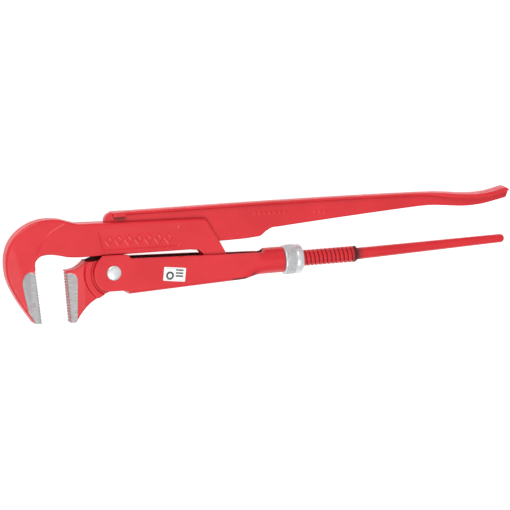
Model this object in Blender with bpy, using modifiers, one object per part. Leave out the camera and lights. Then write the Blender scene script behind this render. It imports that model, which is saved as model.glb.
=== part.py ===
"""Swedish-pattern pipe wrench with 90 degree jaws, size 1 1/2 inch.

The tool lies flat.  Every length below is in tool millimetres: x runs along the axis of the
threaded leg towards the handles and is 0 at the jaw rivet, y is 0 on that axis and grows
towards the upper handle, and z is 0 in the tool's plane of symmetry.  at() turns a tool point
into world metres, with the world origin at the bottom centre of the tool's bounding box.
"""

import math

import bmesh
import bpy
from mathutils import Matrix, Vector

MM = 0.001
CENTRE_X = 123.35         # middle of the tool along the leg
CENTRE_Y = 6.86           # middle of the tool across the handles
LIE_HEIGHT = 12.0         # plane of symmetry above the table

CLEARANCE = 0.3           # between pieces that touch or slide
WELD = 0.00001

# upper leg: hook jaw, its forked shank and the T-bar handle
SHANK_HALF = 7.4
HOOK_HALF = 6.9
SLOT_HALF = 3.4           # fork for the handle's web and, below, for the leg's tongue
SLOT_FLOOR = 19.4
WEB_HALF = SLOT_HALF - CLEARANCE
FLANGE_HALF = 5.6
FLANGE_THICK = 2.0
STOP_START = 1.2          # thick lug at the flange's left end
STOP_END = 13.4
GRIP_START = 262.0        # where the flange starts to widen into the grip
GRIP_FULL = 292.0
GRIP_HALF = 8.0
PANEL_DEPTH = 0.6
HANDLE_RIVETS = ((4.0, 30.0), (71.0, 29.0))
HANDLE_RIVET_RADIUS = 3.5

# pivot of the threaded leg in the shank's lug
LEG_PIVOT = (86.0, 0.0)
LUG_RADIUS = 9.0
LUG_HALF = 7.4
PIN_RADIUS = 3.0
TONGUE_RADIUS = 7.4
TONGUE_CEILING = 9.4

# threaded leg
THREAD_PITCH = 3.5
THREAD_RADIUS = 6.45
THREAD_ROOT = 5.2
THREAD_START = 108.0
THREAD_END = 206.0
THREAD_RINGS = 4          # rings of points in one pitch
LEG_SIDES = 16
ROD_START = 98.0
ROD_END = 331.8
ROD_BIG = 4.75
ROD_SMALL = 3.45
ROD_RISE = 3.0            # the plain rod leans towards the upper handle

# housing: a bent sheet channel that is rolled into a tube at one end
SHEET = 2.4
HOUSING_HALF = 10.4
CHANNEL_HALF = HOUSING_HALF - SHEET
CORNER_RADIUS = 2.4       # of the sheet's middle line
FLOOR_START = 12.4
ROLL_START = 108.0
SEAM_START = 120.5
TUBE_START = 128.0
TUBE_END = 144.2
CHEEK_RADIUS = 16.5
CHEEK_TOP = 17.6          # the sheet's upper edge before its side view is trimmed
RIM_START = 16.0
RIM_TOP = 10.6

# jaw pivot and lower jaw
JAW_PIVOT = (0.0, 2.0)
JAW_HEAD_HALF = 7.0
JAW_TAIL_HALF = CHANNEL_HALF - 0.4
BAND_HALF = 9.6           # raised band that backs the cheeks' round ends
BAND_INNER = 18.8
BAND_OUTER = 24.0
RIVET_RADIUS = 4.0
RIVET_HEAD_RADIUS = 5.9
RIVET_HEAD_HEIGHT = 1.3

# adjusting nut
NUT_START = 144.5
NUT_END = 159.1
NUT_RADIUS = 12.0
NUT_BORE = THREAD_RADIUS + CLEARANCE
NECK_RADIUS = CHANNEL_HALF - CLEARANCE
NECK_START = 135.6
RING_MIDDLE = 138.0

# leaf spring on the housing's floor
SPRING_RIVET = (35.0, -13.0, 0.0)
SPRING_RIVET_RADIUS = 1.6
SPRING_THICK = 0.8
SPRING_HALF = 5.0

# sticker on the housing's front cheek
LABEL_CENTRE = (50.5, -3.0)
LABEL_SIZE = (18.4, 11.2)
LABEL_TILT = -7.2
LABEL_FILM = (0.1, 0.3)   # its back and its face above the cheek

TOOTH_COUNT = 17
TOOTH_DEPTH = 0.9

AXIS_TURNS = {
    "x": Matrix.Rotation(math.radians(90.0), 4, "Y"),
    "y": Matrix.Rotation(math.radians(-90.0), 4, "X"),
    "z": Matrix.Identity(4),
}

RED = (0.62, 0.03, 0.04)
STEEL = (0.42, 0.42, 0.43)
ZINC = (0.75, 0.75, 0.76)
WHITE = (0.85, 0.85, 0.84)


# ---------------------------------------------------------------- scene helpers

def clear_scene():
    for obj in list(bpy.data.objects):
        bpy.data.objects.remove(obj, do_unlink=True)


def make_collection(name):
    collection = bpy.data.collections.new(name)
    bpy.context.scene.collection.children.link(collection)
    return collection


def make_material(name, colour, roughness, metallic):
    material = bpy.data.materials.new(name)
    material.use_nodes = True
    shader = material.node_tree.nodes["Principled BSDF"]
    shader.inputs["Base Color"].default_value = (*colour, 1.0)
    shader.inputs["Roughness"].default_value = roughness
    shader.inputs["Metallic"].default_value = metallic
    material.diffuse_color = (*colour, 1.0)
    return material


def at(x, y, z=0.0):
    """World point in metres of a tool point in millimetres."""
    return Vector(((x - CENTRE_X) * MM, (y - CENTRE_Y) * MM, (z + LIE_HEIGHT) * MM))


def add_object(name, mesh, collection):
    obj = bpy.data.objects.new(name, mesh)
    collection.objects.link(obj)
    return obj


def finish_part(obj, material, origin):
    """Give a part its material and put its origin on its joint's axis, in tool millimetres."""
    obj.data.materials.clear()
    obj.data.materials.append(material)
    target = at(*origin)
    moved = obj.matrix_world.translation - target
    obj.data.transform(Matrix.Translation(moved))
    obj.location = target
    return obj


def mesh_from_bmesh(name, shape, collection):
    bmesh.ops.recalc_face_normals(shape, faces=shape.faces)
    mesh = bpy.data.meshes.new(name)
    shape.to_mesh(mesh)
    shape.free()
    return add_object(name, mesh, collection)


def combine(obj, other, operation):
    """Cut, join or intersect obj with a solid from the cutters' collection."""
    step = obj.modifiers.new(f"{operation.lower()} {other.name}", "BOOLEAN")
    step.operation = operation
    step.solver = "EXACT"
    step.object = other


def round_edges(obj, width, limit=50.0):
    step = obj.modifiers.new("rounded edges", "BEVEL")
    step.width = width * MM
    step.segments = 1
    step.limit_method = "ANGLE"
    step.angle_limit = math.radians(limit)


def as_cutter(obj):
    obj.hide_render = True
    obj.display_type = "WIRE"
    return obj


# ---------------------------------------------------------------- outlines

def arc(centre, radius, start, end, steps):
    """Points on an arc, from the start angle to the end angle in degrees."""
    points = []
    for index in range(steps + 1):
        angle = math.radians(start + (end - start) * index / steps)
        points.append((centre[0] + radius * math.cos(angle), centre[1] + radius * math.sin(angle)))
    return points


def smooth(points, steps=3):
    """A Catmull-Rom curve through the points."""
    ends = [points[0], *points, points[-1]]
    curve = []
    for before, first, second, after in zip(ends, ends[1:], ends[2:], ends[3:]):
        for index in range(steps):
            t = index / steps
            weights = (
                -0.5 * t + t * t - 0.5 * t ** 3,
                1.0 - 2.5 * t * t + 1.5 * t ** 3,
                0.5 * t + 2.0 * t * t - 1.5 * t ** 3,
                -0.5 * t * t + 0.5 * t ** 3,
            )
            around = (before, first, second, after)
            x = sum(weight * point[0] for weight, point in zip(weights, around))
            y = sum(weight * point[1] for weight, point in zip(weights, around))
            curve.append((x, y))
    curve.append(points[-1])
    return curve


def prism(name, outline, low, high, collection):
    """A flat outline in the x-y plane, filled and extruded from z = low to z = high."""
    curve = bpy.data.curves.new(name, "CURVE")
    curve.dimensions = "2D"
    curve.fill_mode = "BOTH"
    curve.extrude = 0.5 * (high - low) * MM
    spline = curve.splines.new("POLY")
    spline.points.add(len(outline) - 1)
    for point, (x, y) in zip(spline.points, outline):
        place = at(x, y)
        point.co = (place.x, place.y, 0.0, 1.0)
    spline.use_cyclic_u = True
    source = add_object(name, curve, collection)
    source.location.z = at(0.0, 0.0, 0.5 * (low + high)).z
    bpy.context.view_layer.update()
    evaluated = source.evaluated_get(bpy.context.evaluated_depsgraph_get())
    mesh = bpy.data.meshes.new_from_object(evaluated)
    mesh.transform(source.matrix_world)
    bpy.data.objects.remove(source)
    shape = bmesh.new()
    shape.from_mesh(mesh)
    bmesh.ops.remove_doubles(shape, verts=shape.verts, dist=WELD)
    bmesh.ops.dissolve_limit(shape, angle_limit=math.radians(0.5), verts=shape.verts, edges=shape.edges)
    return mesh_from_bmesh(name, shape, collection)


def disc(name, centre, radius, low, high, collection, steps=32):
    return prism(name, arc(centre, radius, 0.0, 360.0 * (1 - 1 / steps), steps - 1), low, high, collection)


def box(name, x_range, y_range, z_range, collection):
    (x0, x1), (y0, y1) = x_range, y_range
    return prism(name, [(x0, y0), (x1, y0), (x1, y1), (x0, y1)], *z_range, collection)


def turned(name, profile, centre, axis, collection, steps=32):
    """A profile of (radius, distance) points turned about a line along axis through centre.

    The profile is listed from its far end down its outer side, and is closed through the bore
    when its first point is off the axis.
    """
    mesh = bpy.data.meshes.new(name)
    points = [(radius * MM, 0.0, distance * MM) for radius, distance in profile]
    edges = [(index, index + 1) for index in range(len(points) - 1)]
    if profile[0][0] > 0.0:
        edges.append((len(points) - 1, 0))
    mesh.from_pydata(points, edges, [])
    obj = add_object(name, mesh, collection)
    screw = obj.modifiers.new("turned", "SCREW")
    screw.steps = steps
    screw.render_steps = steps
    screw.use_merge_vertices = True
    screw.merge_threshold = WELD
    bpy.context.view_layer.update()
    evaluated = obj.evaluated_get(bpy.context.evaluated_depsgraph_get())
    solid = bpy.data.meshes.new_from_object(evaluated)
    bpy.data.objects.remove(obj)
    solid.transform(Matrix.Translation(at(*centre)) @ AXIS_TURNS[axis])
    return add_object(name, solid, collection)


def loft(name, sections, collection):
    """A closed skin through sections of (x, y, z) points, with flat ends."""
    shape = bmesh.new()
    loops = [[shape.verts.new(at(*point)) for point in section] for section in sections]
    count = len(loops[0])
    for first, second in zip(loops, loops[1:]):
        for side in range(count):
            after = (side + 1) % count
            shape.faces.new((first[side], first[after], second[after], second[side]))
    shape.faces.new(loops[0])
    shape.faces.new(loops[-1])
    return mesh_from_bmesh(name, shape, collection)


def ease(value, start, end):
    """Smooth step from 0 at start to 1 at end."""
    t = min(1.0, max(0.0, (value - start) / (end - start)))
    return t * t * (3.0 - 2.0 * t)


def tooth_cutter(name, first, last, inward, collection):
    """A saw-edged prism along the face from first to last; inward points into the jaw."""
    step = ((last[0] - first[0]) / TOOTH_COUNT, (last[1] - first[1]) / TOOTH_COUNT)
    outline = []
    for index in range(TOOTH_COUNT):
        start = (first[0] + step[0] * index, first[1] + step[1] * index)
        outline.append((start[0] - 0.05 * inward, start[1]))
        outline.append((start[0] + 0.4 * step[0] + TOOTH_DEPTH * inward, start[1] + 0.4 * step[1]))
    outline.append((last[0] - 0.05 * inward, last[1]))
    outline.append((last[0] - 3.0 * inward, last[1]))
    outline.append((first[0] - 3.0 * inward, first[1]))
    return as_cutter(prism(name, outline, -12.0, 12.0, collection))


# ---------------------------------------------------------------- upper leg

def hook_outline():
    back = smooth([
        (-27.0, 43.3), (-34.0, 45.4), (-42.0, 47.9), (-51.5, 48.8), (-61.0, 47.8), (-70.0, 44.4),
        (-78.0, 39.0), (-84.0, 31.8), (-87.6, 23.0), (-88.5, 13.5), (-87.3, 3.0), (-83.2, -7.6),
        (-75.9, -20.6), (-66.2, -34.6),
    ])
    throat = [(-64.05, 10.0)] + smooth([
        (-65.0, 12.4), (-63.6, 16.0), (-59.2, 19.3), (-52.5, 20.2), (-44.5, 19.0), (-36.5, 17.1),
        (-28.0, 16.4),
    ])
    lug_tip = arc(LEG_PIVOT, LUG_RADIUS, 180.0, 360.0, 12)
    return [
        *back,
        (-60.8, -34.6),
        *throat,
        (65.0, 15.5), (72.6, 14.6), (76.0, 11.2), (77.0, 6.0),
        *lug_tip,
        (95.2, 10.8), (81.5, 37.4), (79.2, 39.5), (74.0, 39.9),
    ]


def panel_outline():
    return [(-10.6, 36.0), (-7.0, 21.2), (-5.2, 19.9), (55.0, 18.8), (56.6, 20.2), (56.8, 33.2), (-9.4, 36.9)]


def build_hook_jaw(parts, cutters, material):
    hook = prism("hook_jaw", hook_outline(), -SHANK_HALF, SHANK_HALF, parts)
    round_edges(hook, 0.9, 60.0)
    thin_side = smooth([(-26.0, 50.0), (-36.0, 45.0), (-49.0, 38.5), (-57.5, 30.0), (-62.0, 18.0)])
    thin_side += [(-62.0, -40.0), (-95.0, -40.0), (-95.0, 52.0), (-26.0, 52.0)]
    sides = ((HOOK_HALF, SHANK_HALF + 2.0), (-SHANK_HALF - 2.0, -HOOK_HALF))
    for side, (low, high) in zip(("front", "back"), sides):
        combine(hook, as_cutter(prism(f"hook_{side}_relief", thin_side, low, high, cutters)), "DIFFERENCE")
    panel_low = SHANK_HALF - PANEL_DEPTH
    for side, sign in (("front", 1.0), ("back", -1.0)):
        low, high = sorted((sign * panel_low, sign * (SHANK_HALF + 2.0)))
        panel = as_cutter(prism(f"panel_{side}", panel_outline(), low, high, cutters))
        combine(hook, panel, "DIFFERENCE")
    slot = box("web_slot", (-4.4, 110.0), (SLOT_FLOOR, 60.0), (-SLOT_HALF, SLOT_HALF), cutters)
    combine(hook, as_cutter(slot), "DIFFERENCE")
    tongue_slot = box("tongue_slot", (60.0, 110.0), (-20.0, TONGUE_CEILING), (-SLOT_HALF, SLOT_HALF), cutters)
    combine(hook, as_cutter(tongue_slot), "DIFFERENCE")
    for index, place in enumerate(HANDLE_RIVETS):
        hole = disc(f"hook_rivet_hole_{index}", place, HANDLE_RIVET_RADIUS + CLEARANCE, -20.0, 20.0, cutters)
        combine(hook, as_cutter(hole), "DIFFERENCE")
    pin_hole = disc("hook_pin_hole", LEG_PIVOT, PIN_RADIUS + CLEARANCE, -20.0, 20.0, cutters)
    combine(hook, as_cutter(pin_hole), "DIFFERENCE")
    teeth = tooth_cutter("hook_teeth", (-64.0, 9.5), (-60.85, -34.0), -1.0, cutters)
    combine(hook, teeth, "DIFFERENCE")
    return finish_part(hook, material, (0.0, 0.0, 0.0))


def handle_top_line():
    """Upper edge of the handle, from the round left end of its web to the end of the grip."""
    left_end = arc((3.0, 42.7), 6.8, 180.0, 95.0, 6)
    return left_end + smooth([
        (3.0, 49.5), (50.0, 49.1), (100.0, 48.7), (150.0, 48.0), (200.0, 47.1), (245.0, 45.9),
        (270.0, 44.9), (284.0, 43.6), (297.0, 41.9), (309.0, 41.3), (321.0, 42.3), (333.6, 44.8),
    ])


def handle_bottom_line():
    return smooth([
        (-4.0, 19.9), (98.0, 19.9), (121.0, 20.7), (126.5, 21.6), (130.5, 24.6), (136.0, 27.2),
        (143.0, 27.7), (160.0, 28.9), (200.0, 31.5), (245.0, 34.1), (268.0, 35.0), (284.0, 33.6),
        (298.0, 32.2), (312.0, 32.6), (324.0, 34.6), (334.2, 36.6),
    ])


def height_on(line, x):
    """Height of a line of points at x; the points run towards +x."""
    for (x0, y0), (x1, y1) in zip(line, line[1:]):
        if x0 <= x <= x1 and x1 > x0:
            return y0 + (y1 - y0) * (x - x0) / (x1 - x0)
    return line[-1][1] if x > line[-1][0] else line[0][1]


def flange_at(x):
    """Half width and thickness of the handle's flange at x."""
    if x < STOP_START:
        return WEB_HALF + 0.02, FLANGE_THICK
    if x < STOP_END:
        return FLANGE_HALF + 0.7, 4.0
    grip = ease(x, GRIP_START, GRIP_FULL)
    return FLANGE_HALF + (GRIP_HALF - FLANGE_HALF) * grip, FLANGE_THICK + 1.4 * grip


def handle_section(x, lean=0.0):
    """Closed T section at x; lean shifts its lower points towards +x."""
    top = height_on(handle_top_line(), x)
    bottom = min(height_on(handle_bottom_line(), x + lean), top - 1.0)
    half, thick = flange_at(x)
    under = max(top - thick, bottom + 0.6)
    fillet = max(under - 0.9, bottom + 0.3)
    right = [(top, half), (under, half), (fillet, WEB_HALF), (bottom, WEB_HALF)]
    left = [(y, -z) for y, z in reversed(right)]
    return [(x + lean * (top - y) / (top - bottom), y, z) for y, z in right + left]


def handle_stations():
    left_end = [-3.79, -3.4, -2.7, -1.6, -0.2, STOP_START - 0.05]
    stop = [STOP_START, STOP_END - 0.05]
    straight = [STOP_END + 22.2 * index for index in range(5)]
    step = [112.0, 121.0, 124.5, 127.0, 130.0, 133.0, 136.5, 143.0]
    lever = [160.0 + 18.0 * index for index in range(6)]
    grip = [262.0 + 7.8 * index for index in range(10)]
    return left_end + stop + straight + step + lever + grip


def build_upper_handle(parts, cutters, material):
    end_lean = 1.6
    sections = [handle_section(x) for x in handle_stations()]
    last = handle_top_line()[-1][0]
    sections[-1] = handle_section(last, end_lean)
    handle = loft("upper_handle", sections, parts)
    for index, place in enumerate(HANDLE_RIVETS):
        hole = disc(f"web_rivet_hole_{index}", place, HANDLE_RIVET_RADIUS + CLEARANCE, -20.0, 20.0, cutters)
        combine(handle, as_cutter(hole), "DIFFERENCE")
    return finish_part(handle, material, (0.0, 0.0, 0.0))


def build_pins(parts, red, steel):
    depth = SHANK_HALF - PANEL_DEPTH - 0.05
    halves = (depth, SHANK_HALF - 0.05)
    for name, place, half in zip(("handle_rivet_front", "handle_rivet_rear"), HANDLE_RIVETS, halves):
        pin = disc(name, place, HANDLE_RIVET_RADIUS, -half, half, parts, 24)
        finish_part(pin, red, (*place, 0.0))
    half = LUG_HALF - 0.1
    pivot = disc("leg_pivot_pin", LEG_PIVOT, PIN_RADIUS, -half, half, parts, 24)
    finish_part(pivot, steel, (*LEG_PIVOT, 0.0))


# ---------------------------------------------------------------- threaded leg

def thread_radius(x, angle):
    """Radius of the right-hand thread; it fades into the root at its start."""
    turns = (x - THREAD_START) / THREAD_PITCH - angle / (2.0 * math.pi)
    wave = 0.5 + 0.5 * math.cos(2.0 * math.pi * turns)
    fade = min(1.0, (x - THREAD_START) / THREAD_PITCH)
    return THREAD_ROOT + (THREAD_RADIUS - THREAD_ROOT) * wave * fade


def leg_rings():
    """(x, axis height, radius function) of every ring of points along the leg."""
    rings = [(ROD_START, 0.0, lambda angle: THREAD_ROOT)]
    count = round((THREAD_END - THREAD_START) / THREAD_PITCH * THREAD_RINGS)
    for index in range(count + 1):
        x = THREAD_START + index * THREAD_PITCH / THREAD_RINGS
        rings.append((x, 0.0, lambda angle, x=x: thread_radius(x, angle)))
    for index in range(6):
        part = index / 5
        x = THREAD_END + 1.4 + (ROD_END - 2.4 - THREAD_END) * part
        radius = ROD_BIG + (ROD_SMALL - ROD_BIG) * part
        rings.append((x, ROD_RISE * part, lambda angle, radius=radius: radius))
    rings.append((ROD_END, ROD_RISE, lambda angle: 0.7 * ROD_SMALL))
    return rings


def build_threaded_leg(parts, cutters, material):
    sections = []
    for x, height, radius_at in leg_rings():
        angles = [2.0 * math.pi * side / LEG_SIDES for side in range(LEG_SIDES)]
        ring = [(height + radius_at(a) * math.cos(a), radius_at(a) * math.sin(a)) for a in angles]
        sections.append([(x, y, z) for y, z in ring])
    leg = loft("threaded_leg", sections, parts)
    eye = arc(LEG_PIVOT, TONGUE_RADIUS, 50.0, 310.0, 16)
    outline = [*eye, (94.0, -4.4), (104.0, -4.4), (104.0, 4.4), (94.0, 4.4)]
    tongue = as_cutter(prism("leg_tongue", outline, -WEB_HALF, WEB_HALF, cutters))
    combine(leg, tongue, "UNION")
    hole = disc("tongue_pin_hole", LEG_PIVOT, PIN_RADIUS + CLEARANCE, -20.0, 20.0, cutters)
    combine(leg, as_cutter(hole), "DIFFERENCE")
    return finish_part(leg, material, (*LEG_PIVOT, 0.0))


# ---------------------------------------------------------------- housing

def sheet_half_section(x):
    """(y, z) points of the sheet's middle line on the front side, from its top edge down."""
    half = HOUSING_HALF - 0.5 * SHEET
    floor = -15.2 + 0.044 * (x - FLOOR_START)
    rim = CHEEK_TOP + (RIM_TOP - CHEEK_TOP) * ease(x, RIM_START, ROLL_START)
    lower_blend = ease(x, ROLL_START, TUBE_START)
    upper_blend = ease(x, SEAM_START, TUBE_START)
    upper_steps, lower_steps = 8, 7
    seam = math.radians(87.0)
    points = []
    for index in range(upper_steps):
        part = index / upper_steps
        blend = upper_blend + (lower_blend - upper_blend) * part
        channel = (rim + (floor + CORNER_RADIUS - rim) * part, half)
        angle = seam * (1.0 - part)
        tube = (half * math.sin(angle), half * math.cos(angle))
        points.append(tuple(a + (b - a) * blend for a, b in zip(channel, tube)))
    for index in range(lower_steps + 1):
        part = index / lower_steps
        corner = math.radians(90.0) * min(1.0, index / (lower_steps - 1))
        channel_z = half - CORNER_RADIUS * (1.0 - math.cos(corner))
        if index == lower_steps:
            channel_z = 0.0
        channel = (floor + CORNER_RADIUS * (1.0 - math.sin(corner)), channel_z)
        angle = -math.radians(90.0) * part
        tube = (half * math.sin(angle), half * math.cos(angle))
        points.append(tuple(a + (b - a) * lower_blend for a, b in zip(channel, tube)))
    return points


def sheet_section(x):
    """Closed (y, z) loop around the sheet: down its outer side and back along its inner side."""
    front = sheet_half_section(x)
    back = [(y, -z) for y, z in reversed(front[:-1])]
    middle = [*front, *back]
    outer, inner = [], []
    for index, (y, z) in enumerate(middle):
        before = middle[max(index - 1, 0)]
        after = middle[min(index + 1, len(middle) - 1)]
        along = Vector((after[0] - before[0], after[1] - before[1])).normalized()
        offset = 0.5 * SHEET
        outer.append((y - along.y * offset, z + along.x * offset))
        inner.append((y + along.y * offset, z - along.x * offset))
    return [*outer, *reversed(inner)]


def housing_side_outline():
    """Side view that trims the folded sheet: round cheeks, raised back, open tube notch."""
    cheek = arc(JAW_PIVOT, CHEEK_RADIUS, 128.0, 232.0, 12)
    return [
        *cheek,
        (-3.6, -12.9), (11.4, -13.1), (FLOOR_START, -14.2), (FLOOR_START + 0.6, -20.0),
        (160.0, -20.0), (160.0, 14.0), (124.8, 14.0), (124.0, 9.0), (15.0, 12.6),
        (12.6, 15.6), (11.0, 16.1), (-8.6, 16.6),
    ]


def build_housing(parts, cutters, material):
    stations = [-18.0, RIM_START, ROLL_START, 112.0, 115.0, 118.0, 120.5, 122.0, 123.5, 125.0, 126.5, TUBE_START, TUBE_END]
    housing = loft("housing", [[(x, y, z) for y, z in sheet_section(x)] for x in stations], parts)
    side_view = as_cutter(prism("housing_side", housing_side_outline(), -14.0, 14.0, cutters))
    combine(housing, side_view, "INTERSECT")
    hole = disc("cheek_rivet_hole", JAW_PIVOT, RIVET_RADIUS + CLEARANCE, -20.0, 20.0, cutters)
    combine(housing, as_cutter(hole), "DIFFERENCE")
    groove = [(8.5, 0.8), (8.5, -0.8), (7.0, -0.8), (7.0, 0.8)]
    ring_groove = turned("ring_groove", groove, (RING_MIDDLE, 0.0, 0.0), "x", cutters)
    combine(housing, as_cutter(ring_groove), "DIFFERENCE")
    bore = SPRING_RIVET_RADIUS + CLEARANCE
    spring_hole = turned("spring_rivet_hole", [(0.0, 2.0), (bore, 2.0), (bore, -8.0), (0.0, -8.0)],
                         SPRING_RIVET, "y", cutters, 16)
    combine(housing, as_cutter(spring_hole), "DIFFERENCE")
    return finish_part(housing, material, (*LEG_PIVOT, 0.0))


# ---------------------------------------------------------------- lower jaw, its rivet and spring

def lower_jaw_outline():
    top = smooth([(-38.4, 6.2), (-34.0, 6.3), (-29.5, 7.4), (-25.0, 10.0), (-20.6, 13.6), (-16.0, 15.3)])
    belly = smooth([(-33.5, -35.7), (-27.5, -27.2), (-20.4, -20.8), (-12.5, -16.9), (-5.0, -14.0), (2.0, -12.4)])
    hub = arc(JAW_PIVOT, 13.2, 45.0, 100.0, 5)
    return [(-36.1, -35.7), *belly, (13.4, -9.4), (14.0, 4.0), *hub, (-8.0, 15.2), *reversed(top)]


def build_lower_jaw(parts, cutters, material):
    jaw = prism("lower_jaw", lower_jaw_outline(), -BAND_HALF, BAND_HALF, parts)
    round_edges(jaw, 0.6, 60.0)
    for side, sign in (("front", 1.0), ("back", -1.0)):
        low, high = sorted((sign * JAW_HEAD_HALF, sign * 14.0))
        edge = arc(JAW_PIVOT, BAND_OUTER, 90.0, 270.0, 20)
        head = [*edge, (0.0, -60.0), (-60.0, -60.0), (-60.0, 40.0), (0.0, 40.0)]
        combine(jaw, as_cutter(prism(f"jaw_head_relief_{side}", head, low, high, cutters)), "DIFFERENCE")
        low, high = sorted((sign * JAW_TAIL_HALF, sign * 14.0))
        tail = disc(f"jaw_tail_relief_{side}", JAW_PIVOT, BAND_INNER, low, high, cutters, 48)
        combine(jaw, as_cutter(tail), "DIFFERENCE")
    hole = disc("jaw_rivet_hole", JAW_PIVOT, RIVET_RADIUS + CLEARANCE, -20.0, 20.0, cutters)
    combine(jaw, as_cutter(hole), "DIFFERENCE")
    teeth = tooth_cutter("jaw_teeth", (-38.35, 5.0), (-36.2, -35.2), 1.0, cutters)
    combine(jaw, teeth, "DIFFERENCE")
    return finish_part(jaw, material, (*JAW_PIVOT, 0.0))


def build_jaw_rivet(parts, material):
    seat = HOUSING_HALF + CLEARANCE
    top = seat + RIVET_HEAD_HEIGHT
    head = [
        (0.0, top), (2.6, top - 0.1), (4.6, top - 0.45), (RIVET_HEAD_RADIUS, top - 1.0),
        (RIVET_HEAD_RADIUS, seat), (RIVET_RADIUS, seat),
    ]
    tail = [(radius, -height) for radius, height in reversed(head)]
    rivet = turned("jaw_rivet", [*head, *tail], (*JAW_PIVOT, 0.0), "z", parts)
    return finish_part(rivet, material, (*JAW_PIVOT, 0.0))


def build_spring(parts, cutters, steel, zinc):
    path = smooth([(15.5, -1.0), (16.9, -5.2), (19.2, -9.0), (22.8, -11.6), (27.0, -12.2), (43.0, -12.2)], 4)
    sides = ([], [])
    for index, (x, y) in enumerate(path):
        before = path[max(index - 1, 0)]
        after = path[min(index + 1, len(path) - 1)]
        along = Vector((after[0] - before[0], after[1] - before[1])).normalized()
        for side, offset in zip(sides, (0.5 * SPRING_THICK, -0.5 * SPRING_THICK)):
            side.append((x - along.y * offset, y + along.x * offset))
    spring = prism("jaw_spring", [*sides[0], *reversed(sides[1])], -SPRING_HALF, SPRING_HALF, parts)
    bore = SPRING_RIVET_RADIUS + CLEARANCE
    hole = turned("leaf_rivet_hole", [(0.0, 4.0), (bore, 4.0), (bore, -8.0), (0.0, -8.0)],
                  SPRING_RIVET, "y", cutters, 16)
    combine(spring, as_cutter(hole), "DIFFERENCE")
    finish_part(spring, steel, SPRING_RIVET)
    profile = [
        (0.0, 2.8), (2.0, 2.5), (2.8, 1.9), (2.8, 1.5), (SPRING_RIVET_RADIUS, 1.5),
        (SPRING_RIVET_RADIUS, -2.3), (0.0, -2.3),
    ]
    rivet = turned("spring_rivet", profile, SPRING_RIVET, "y", parts, 16)
    finish_part(rivet, zinc, SPRING_RIVET)


# ---------------------------------------------------------------- adjusting nut, its ring, label

def build_nut(parts, zinc, steel):
    groove = (RING_MIDDLE - 0.8, RING_MIDDLE + 0.8)
    groove_radius = NECK_RADIUS - 0.55
    profile = [
        (NUT_BORE + 1.8, NUT_END), (NUT_RADIUS - 0.9, NUT_END - 1.4), (NUT_RADIUS, NUT_END - 3.6),
        (NUT_RADIUS, NUT_START + 0.6), (NUT_RADIUS - 0.6, NUT_START), (NECK_RADIUS, NUT_START),
        (NECK_RADIUS, groove[1]), (groove_radius, groove[1]), (groove_radius, groove[0]),
        (NECK_RADIUS, groove[0]), (NECK_RADIUS, NECK_START), (NUT_BORE, NECK_START), (NUT_BORE, NUT_END),
    ]
    nut = turned("adjusting_nut", profile, (0.0, 0.0, 0.0), "x", parts, 40)
    finish_part(nut, zinc, (NUT_START, 0.0, 0.0))
    inner, outer, half = groove_radius + 0.2, 8.2, 0.5
    section = [(outer, half), (outer, -half), (inner, -half), (inner, half)]
    ring = turned("nut_retaining_ring", section, (RING_MIDDLE, 0.0, 0.0), "x", parts)
    finish_part(ring, steel, (RING_MIDDLE, 0.0, 0.0))


def build_label(parts, material):
    half_width, half_height = 0.5 * LABEL_SIZE[0], 0.5 * LABEL_SIZE[1]
    turn = Matrix.Rotation(math.radians(LABEL_TILT), 2)
    corners = []
    for x, y in ((-1, -1), (1, -1), (1, 1), (-1, 1)):
        corner = turn @ Vector((x * half_width, y * half_height))
        corners.append((LABEL_CENTRE[0] + corner.x, LABEL_CENTRE[1] + corner.y))
    low, high = (HOUSING_HALF + height for height in LABEL_FILM)
    label = prism("label", corners, low, high, parts)
    finish_part(label, material, (*LABEL_CENTRE, low))


# ---------------------------------------------------------------- the tool

def build_wrench():
    clear_scene()
    parts = make_collection("pipe_wrench")
    cutters = make_collection("cutters")
    red = make_material("red_paint", RED, 0.35, 0.0)
    steel = make_material("plain_steel", STEEL, 0.45, 1.0)
    zinc = make_material("zinc_plate", ZINC, 0.3, 1.0)
    white = make_material("label_film", WHITE, 0.5, 0.0)
    build_hook_jaw(parts, cutters, red)
    build_upper_handle(parts, cutters, red)
    build_pins(parts, red, steel)
    build_threaded_leg(parts, cutters, red)
    build_housing(parts, cutters, red)
    build_lower_jaw(parts, cutters, red)
    build_jaw_rivet(parts, zinc)
    build_spring(parts, cutters, steel, zinc)
    build_nut(parts, zinc, steel)
    build_label(parts, white)


build_wrench()
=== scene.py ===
"""Looks of the Swedish-pattern pipe wrench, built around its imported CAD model.

Lengths are in tool millimetres: x runs along the threaded leg from 0 at the jaw rivet towards the
handles, y is 0 on the leg's axis and grows towards the upper handle, and z is 0 in the tool's plane
of symmetry.  Forged and bent pieces are written as fields that are negative inside the metal; skin()
turns a field into quads.
"""

import math

import bpy
import numpy as np
from mathutils import Matrix, Vector


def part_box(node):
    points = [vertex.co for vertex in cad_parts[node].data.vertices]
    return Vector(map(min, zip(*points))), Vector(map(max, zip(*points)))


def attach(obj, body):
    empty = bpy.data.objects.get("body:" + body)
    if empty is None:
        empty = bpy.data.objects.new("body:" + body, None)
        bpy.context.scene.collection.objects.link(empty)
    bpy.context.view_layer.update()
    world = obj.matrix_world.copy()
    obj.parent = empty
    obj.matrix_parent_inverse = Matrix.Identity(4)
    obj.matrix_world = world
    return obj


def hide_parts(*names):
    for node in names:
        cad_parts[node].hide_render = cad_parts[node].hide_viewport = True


MM = 0.001

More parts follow.
